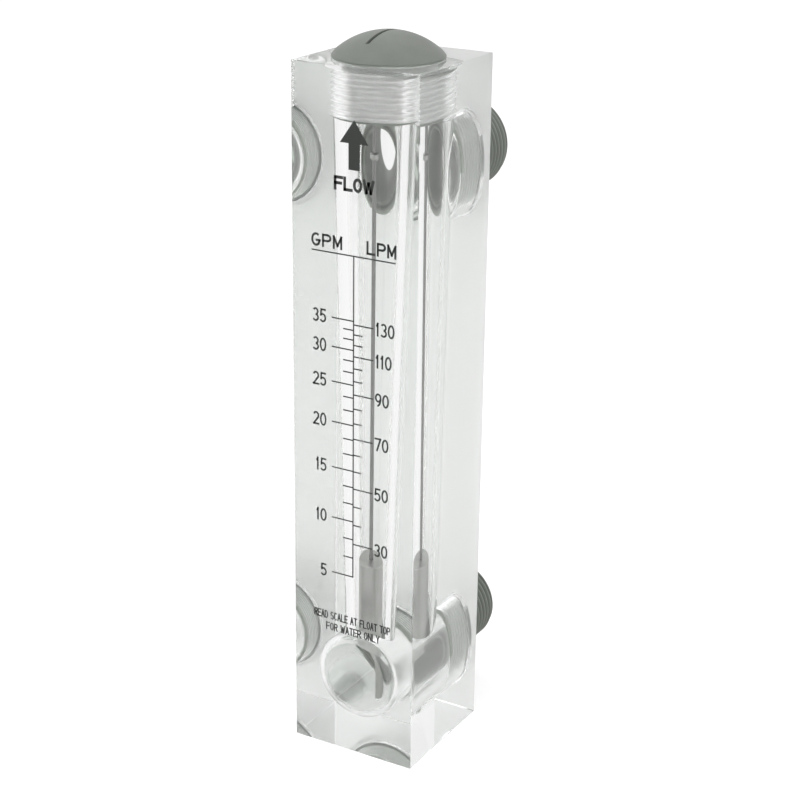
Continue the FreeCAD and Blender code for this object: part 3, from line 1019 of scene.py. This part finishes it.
class ROTAMETER_OT_stage(bpy.types.Operator):
    """Stage: a pale floor, a white surround, soft lamps and the camera"""
    bl_idname = "rotameter.stage"
    bl_label = "Stage"

    def execute(self, context):
        make_floor()
        make_world()
        for lamp in LAMPS:
            make_lamp(*lamp)
        make_camera(context.scene.rotameter_stage)
        context.scene.view_settings.view_transform = "Standard"
        follow_light_through(context.scene.cycles)
        return {"FINISHED"}


def follow_light_through(paths):
    """Let light bounce often enough to find its way out of a thick clear block, and blur none of it."""
    paths.max_bounces = 32
    paths.glossy_bounces = 24
    paths.transmission_bounces = 24
    paths.diffuse_bounces = 12
    paths.blur_glossy = 0


def by_ray(tree, light, through, seen):
    """A strength by kind of ray: light if it is diffuse, through if it mirrors or passes, else seen."""
    path = wired(tree, "ShaderNodeLightPath", {})
    clear = worked(tree, "MAXIMUM", path["Is Glossy Ray"], path["Is Transmission Ray"])
    clear = worked(tree, "MAXIMUM", clear, path["Is Camera Ray"])
    strength = worked(tree, "MULTIPLY_ADD", clear, through - light, light)
    return worked(tree, "MULTIPLY_ADD", path["Is Camera Ray"], seen - through, strength)


def make_floor():
    """A round floor at the block's foot, white where it is seen but for the shadow."""
    turn = 2 * np.pi * np.arange(FLOOR_POINTS) / FLOOR_POINTS
    level = np.full(FLOOR_POINTS, BASE_Z - FLOOR_GAP)
    verts = np.stack([FLOOR_RADIUS * np.cos(turn), FLOOR_RADIUS * np.sin(turn), level], axis=1)
    floor = mesh_object("floor", verts, [np.arange(FLOOR_POINTS)[None, :]])
    material = bpy.data.materials.new("floor")
    material.use_nodes = True
    tree = material.node_tree
    tree.nodes.clear()
    matt = wired(tree, "ShaderNodeBsdfDiffuse", {"Color": FLOOR_GREY})
    glow = wired(tree, "ShaderNodeEmission", {"Strength": by_ray(tree, *FLOOR_GLOW)})
    both = wired(tree, "ShaderNodeAddShader", {0: matt[0], 1: glow[0]})
    wired(tree, "ShaderNodeOutputMaterial", {"Surface": both[0]})
    floor.data.materials.append(material)


def make_world():
    """White where the camera sees it, and a little dimmer to rays on, in and through the object."""
    world = bpy.data.worlds.new("surround")
    world.use_nodes = True
    bpy.context.scene.world = world
    tree = world.node_tree
    tree.nodes.clear()
    white = {"Color": (1, 1, 1, 1), "Strength": by_ray(tree, *SURROUND)}
    sky = wired(tree, "ShaderNodeBackground", white)
    wired(tree, "ShaderNodeOutputWorld", {"Surface": sky[0]})


def make_lamp(name, azimuth, elevation, reach, width, tall, power):
    """A rectangular softbox that faces the block's middle."""
    lamp = bpy.data.lights.new(name, "AREA")
    lamp.shape = "RECTANGLE"
    lamp.size, lamp.size_y, lamp.energy = width, tall, power
    obj = bpy.data.objects.new(name, lamp)
    turn, lift = math.radians(azimuth), math.radians(elevation)
    back = mathutils.Vector((math.sin(turn) * math.cos(lift), -math.cos(turn) * math.cos(lift),
                             math.sin(lift)))
    obj.location = mathutils.Vector((0, 0, TOP_Z / 2)) + reach * back
    obj.rotation_euler = back.to_track_quat("Z", "Y").to_euler()
    bpy.context.scene.collection.objects.link(obj)


def make_camera(stage):
    """The camera at its place, turned by azimuth, elevation and roll."""
    lens = bpy.data.cameras.new("camera")
    lens.sensor_width = 36
    lens.lens = stage.lens
    lens.clip_start = 0.01
    camera = bpy.data.objects.new("camera", lens)
    turn = mathutils.Matrix.Rotation(stage.azimuth, 4, "Z")
    lift = mathutils.Matrix.Rotation(math.radians(90) - stage.elevation, 4, "X")
    roll = mathutils.Matrix.Rotation(stage.roll, 4, "Z")
    camera.matrix_world = mathutils.Matrix.Translation(stage.place) @ turn @ lift @ roll
    bpy.context.scene.collection.objects.link(camera)
    bpy.context.scene.camera = camera


# ---- the add-on

OPERATORS = (ROTAMETER_OT_block, ROTAMETER_OT_cap, ROTAMETER_OT_nipples, ROTAMETER_OT_metal,
             ROTAMETER_OT_seals, ROTAMETER_OT_dial, ROTAMETER_OT_stage)
GROUPS = {"rotameter_block": RotameterBlockSizes, "rotameter_scale": RotameterScaleSizes,
          "rotameter_colours": RotameterColours, "rotameter_stage": RotameterStageSizes}


class ROTAMETER_PT_panel(bpy.types.Panel):
    """Sidebar panel that lists the pieces and their sizes"""
    bl_idname = "ROTAMETER_PT_panel"
    bl_label = "Rotameter"
    bl_space_type = "VIEW_3D"
    bl_region_type = "UI"
    bl_category = "Rotameter"

    def draw(self, context):
        for operator in OPERATORS:
            self.layout.operator(operator.bl_idname)
        for name, group in GROUPS.items():
            box = self.layout.box()
            for word in group.__annotations__:
                box.prop(getattr(context.scene, name), word)


def register():
    for thing in tuple(GROUPS.values()) + OPERATORS + (ROTAMETER_PT_panel,):
        bpy.utils.register_class(thing)
    for name, group in GROUPS.items():
        setattr(bpy.types.Scene, name, bpy.props.PointerProperty(type=group))


def unregister():
    for name in GROUPS:
        delattr(bpy.types.Scene, name)
    for thing in (ROTAMETER_PT_panel,) + OPERATORS[::-1] + tuple(GROUPS.values()):
        bpy.utils.unregister_class(thing)


def main():
    """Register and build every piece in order."""
    register()
    bpy.ops.rotameter.block()
    bpy.ops.rotameter.cap()
    bpy.ops.rotameter.nipples()
    bpy.ops.rotameter.metal()
    bpy.ops.rotameter.seals()
    bpy.ops.rotameter.dial()
    bpy.ops.rotameter.stage()


if __name__ == "__main__":
    main()
